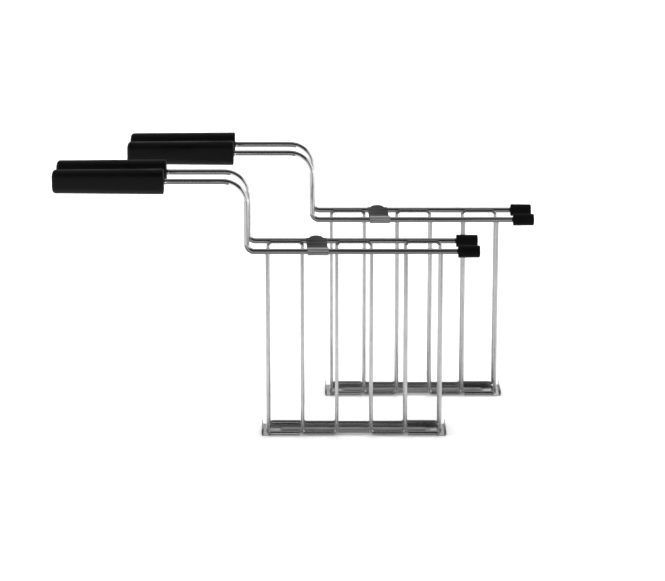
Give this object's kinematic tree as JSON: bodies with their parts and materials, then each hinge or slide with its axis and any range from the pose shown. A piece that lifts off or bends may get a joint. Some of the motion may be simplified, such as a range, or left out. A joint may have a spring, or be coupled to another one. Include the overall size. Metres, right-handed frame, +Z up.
{
  "type": "toaster sandwich racks",
  "caption": "Wire sandwich racks for a slot toaster: cage panels hinged on a folded tray, cranked rods with dark handles and end caps, and a latch clip over the rails.",
  "frame": {"origin": "middle of the pair's footprint, at the level that both trays stand on", "axes": "+X along the rails, away from the handles; +Y from the front rack to the back rack; +Z up"},
  "size_m": [0.351, 0.148, 0.1989],
  "materials": {
    "rod_steel": "polished stainless rod",
    "wire_steel": "bright drawn stainless wire",
    "tray_steel": "polished folded stainless sheet",
    "clip_steel": "dull rolled steel sheet, fine lines along the rail",
    "handle_plastic": "matte black moulded plastic with a fine grain",
    "cap_rubber": "matte black rubber"
  },
  "bodies": {
    "rack1_base": {"rack1_tray": "tray_steel"},
    "rack1_latch": {"rack1_clip": "clip_steel"},
    "rack1_front_panel": {"rack1_front_rod": "rod_steel", "rack1_front_wires": "wire_steel", "rack1_front_handle": "handle_plastic", "rack1_front_cap": "cap_rubber"},
    "rack1_back_panel": {"rack1_back_rod": "rod_steel", "rack1_back_wires": "wire_steel", "rack1_back_handle": "handle_plastic", "rack1_back_cap": "cap_rubber"},
    "rack2_base": {"rack2_tray": "tray_steel"},
    "rack2_latch": {"rack2_clip": "clip_steel"},
    "rack2_front_panel": {"rack2_front_rod": "rod_steel", "rack2_front_wires": "wire_steel", "rack2_front_handle": "handle_plastic", "rack2_front_cap": "cap_rubber"},
    "rack2_back_panel": {"rack2_back_rod": "rod_steel", "rack2_back_wires": "wire_steel", "rack2_back_handle": "handle_plastic", "rack2_back_cap": "cap_rubber"}
  },
  "joints": [
    {"name": "rack1_front_hinge", "type": "hinge", "parent": "rack1_base", "child": "rack1_front_panel", "pos_m": [0.03955, -0.0643, 0.00183], "axis": [1, 0, 0], "range_deg": [0, 85]},
    {"name": "rack1_back_hinge", "type": "hinge", "parent": "rack1_base", "child": "rack1_back_panel", "pos_m": [0.03955, -0.0377, 0.00183], "axis": [-1, 0, 0], "range_deg": [0, 15]},
    {"name": "rack1_latch_hinge", "type": "hinge", "parent": "rack1_front_panel", "child": "rack1_latch", "pos_m": [0.01365, -0.06745, 0.1389], "axis": [1, 0, 0], "range_deg": [0, 260]},
    {"name": "rack2_front_hinge", "type": "hinge", "parent": "rack2_base", "child": "rack2_front_panel", "pos_m": [0.08555, 0.0377, 0.00183], "axis": [1, 0, 0], "range_deg": [0, 15]},
    {"name": "rack2_back_hinge", "type": "hinge", "parent": "rack2_base", "child": "rack2_back_panel", "pos_m": [0.08555, 0.0643, 0.00183], "axis": [-1, 0, 0], "range_deg": [0, 85]},
    {"name": "rack2_latch_hinge", "type": "hinge", "parent": "rack2_front_panel", "child": "rack2_latch", "pos_m": [0.05965, 0.03455, 0.1389], "axis": [1, 0, 0], "range_deg": [0, 260]},
    {"name": "rack2_lift", "type": "slide", "parent": "rack1_base", "child": "rack2_base", "axis": [0, 0, 1], "range_m": [0, 0.25]}
  ]
}
